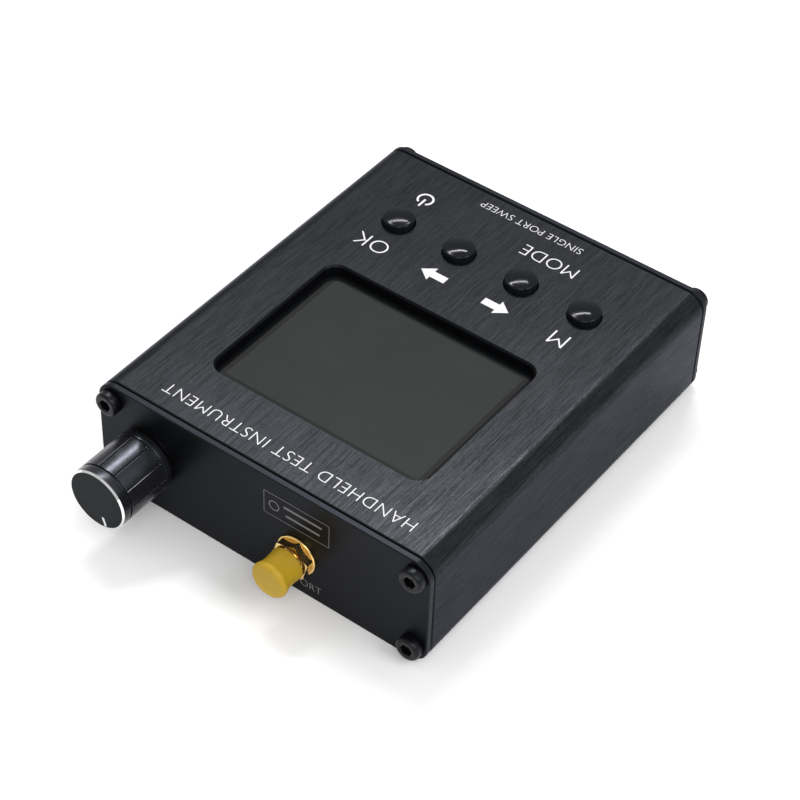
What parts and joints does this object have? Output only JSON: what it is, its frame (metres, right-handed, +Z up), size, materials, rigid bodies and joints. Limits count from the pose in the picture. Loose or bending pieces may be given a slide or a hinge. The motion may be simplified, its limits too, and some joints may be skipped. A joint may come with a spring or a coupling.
{
  "type": "handheld network analyzer",
  "caption": "Pocket one-port radio network analyzer: black aluminium tube case, colour display, push keys, tuning knob and a capped coaxial port.",
  "frame": {"origin": "centre of the case's bottom face", "axes": "+Z up out of the display, +Y towards the connector end, +X towards the tuning knob's side"},
  "size_m": [0.084, 0.1181, 0.0302],
  "materials": {
    "anodised_case": "black anodised, finely brushed along the length",
    "anodised_panel": "black anodised, satin",
    "black_screw": "black oxide",
    "key_black": "glossy domed",
    "display_face": "smooth polariser film over a dark unlit panel",
    "display_back": "pressed tin frame",
    "black_plastic": "moulded",
    "circuit_board": "green solder mask",
    "tinned_steel": "tin plated",
    "gold_plate": "gold plated, polished",
    "spacer_brass": "turned",
    "insulator": "white fluoropolymer",
    "battery_foil": "laminated foil pouch",
    "cap_yellow": "soft semi-gloss vinyl",
    "knob_black": "black anodised, turned, with a bright cut bevel"
  },
  "bodies": {
    "instrument": {"case_shell": "anodised_case", "front_panel": "anodised_panel", "rear_panel": "anodised_panel", "front_screw_1": "black_screw", "front_screw_2": "black_screw", "front_screw_3": "black_screw", "front_screw_4": "black_screw", "rear_screw_1": "black_screw", "rear_screw_2": "black_screw", "rear_screw_3": "black_screw", "rear_screw_4": "black_screw", "display_glass": "display_face", "display_backlight": "display_back", "display_spacer": "black_plastic", "key_switch_1": "black_plastic", "key_switch_2": "black_plastic", "key_switch_3": "black_plastic", "key_switch_4": "black_plastic", "main_board": "circuit_board", "rf_board": "circuit_board", "rf_shield_can": "tinned_steel", "board_header": "black_plastic", "board_spacer_1": "spacer_brass", "board_spacer_2": "spacer_brass", "board_spacer_3": "spacer_brass", "board_spacer_4": "spacer_brass", "battery_pack": "battery_foil", "battery_plug": "insulator", "processor_chip": "black_plastic", "usb_shell": "tinned_steel", "port_body": "gold_plate", "port_insulator": "insulator", "port_contact": "gold_plate", "port_washer": "gold_plate", "port_nut": "gold_plate", "encoder_body": "black_plastic", "encoder_bushing": "tinned_steel", "encoder_washer": "tinned_steel", "encoder_nut": "tinned_steel", "encoder_board": "circuit_board"},
    "key_1": {"key_cap_1": "key_black", "key_plunger_1": "black_plastic"},
    "key_2": {"key_cap_2": "key_black", "key_plunger_2": "black_plastic"},
    "key_3": {"key_cap_3": "key_black", "key_plunger_3": "black_plastic"},
    "key_4": {"key_cap_4": "key_black", "key_plunger_4": "black_plastic"},
    "encoder_push": {"encoder_actuator": "black_plastic"},
    "tuning_knob": {"knob_body": "knob_black", "knob_insert": "black_plastic", "encoder_shaft": "tinned_steel"},
    "port_cap": {"dust_cap": "cap_yellow"}
  },
  "joints": [
    {"name": "key_press_1", "type": "slide", "parent": "instrument", "child": "key_1", "axis": [0, 0, -1], "range_m": [0, 0.0004], "stiffness_N_per_m": 2000},
    {"name": "key_press_2", "type": "slide", "parent": "instrument", "child": "key_2", "axis": [0, 0, -1], "range_m": [0, 0.0004], "stiffness_N_per_m": 2000},
    {"name": "key_press_3", "type": "slide", "parent": "instrument", "child": "key_3", "axis": [0, 0, -1], "range_m": [0, 0.0004], "stiffness_N_per_m": 2000},
    {"name": "key_press_4", "type": "slide", "parent": "instrument", "child": "key_4", "axis": [0, 0, -1], "range_m": [0, 0.0004], "stiffness_N_per_m": 2000},
    {"name": "knob_push", "type": "slide", "parent": "instrument", "child": "encoder_push", "axis": [0, -1, 0], "range_m": [0, 0.0005], "stiffness_N_per_m": 4000},
    {"name": "knob_turn", "type": "hinge", "parent": "encoder_push", "child": "tuning_knob", "pos_m": [0.0289, 0.058, 0.014], "axis": [0, 1, 0], "continuous": true},
    {"name": "cap_pull", "type": "slide", "parent": "instrument", "child": "port_cap", "axis": [0, 1, 0], "range_m": [0, 0.012]}
  ]
}
